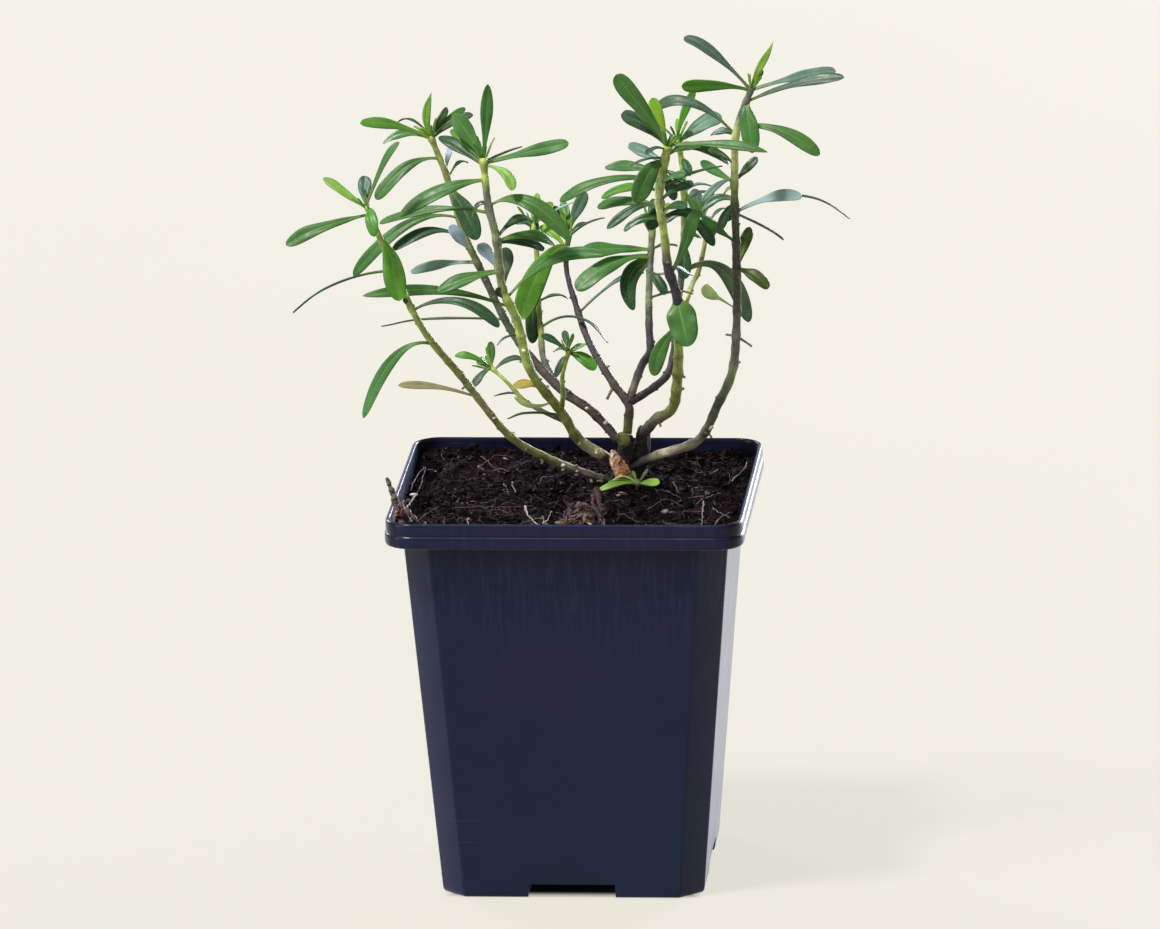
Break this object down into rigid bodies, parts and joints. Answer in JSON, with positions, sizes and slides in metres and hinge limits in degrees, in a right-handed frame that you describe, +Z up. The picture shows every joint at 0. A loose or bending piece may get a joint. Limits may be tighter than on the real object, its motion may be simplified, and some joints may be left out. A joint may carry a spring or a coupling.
{
  "type": "potted evergreen candytuft",
  "caption": "Young evergreen candytuft with narrow leaves on forked woody stems, growing in a square dark plastic nursery pot filled with soil.",
  "frame": {"origin": "middle of the pot's foot, on the surface it stands on", "axes": "+Z up, the pictured front of the pot towards -Y, +X to the right"},
  "size_m": [0.1396, 0.09, 0.2148],
  "materials": {
    "pot": "satin blue-black polypropylene with fine vertical streaks",
    "soil": "crumbly dark peat with pale root fibres",
    "bark": "rough dark bark",
    "bark_flake": "peeling orange-brown bark",
    "young_leaf": "soft satin yellow-green leaf",
    "dry_wood": "dry grey-brown twig",
    "fibre": "matted brown peat fibre",
    "leaf": "glossy dark green leaf with a paler midrib and underside"
  },
  "bodies": {
    "root": {"pot": "pot", "soil": "soil", "crown": "bark", "bark_flake": "bark_flake", "basal_sprout": "young_leaf", "rim_twig": "dry_wood", "fibre_lump": "fibre", "stem_far_left": "leaf", "stem_back_left": "leaf", "stem_front_left": "leaf", "stem_middle": "leaf", "stem_front_right": "leaf", "stem_far_right": "leaf"}
  },
  "joints": []
}
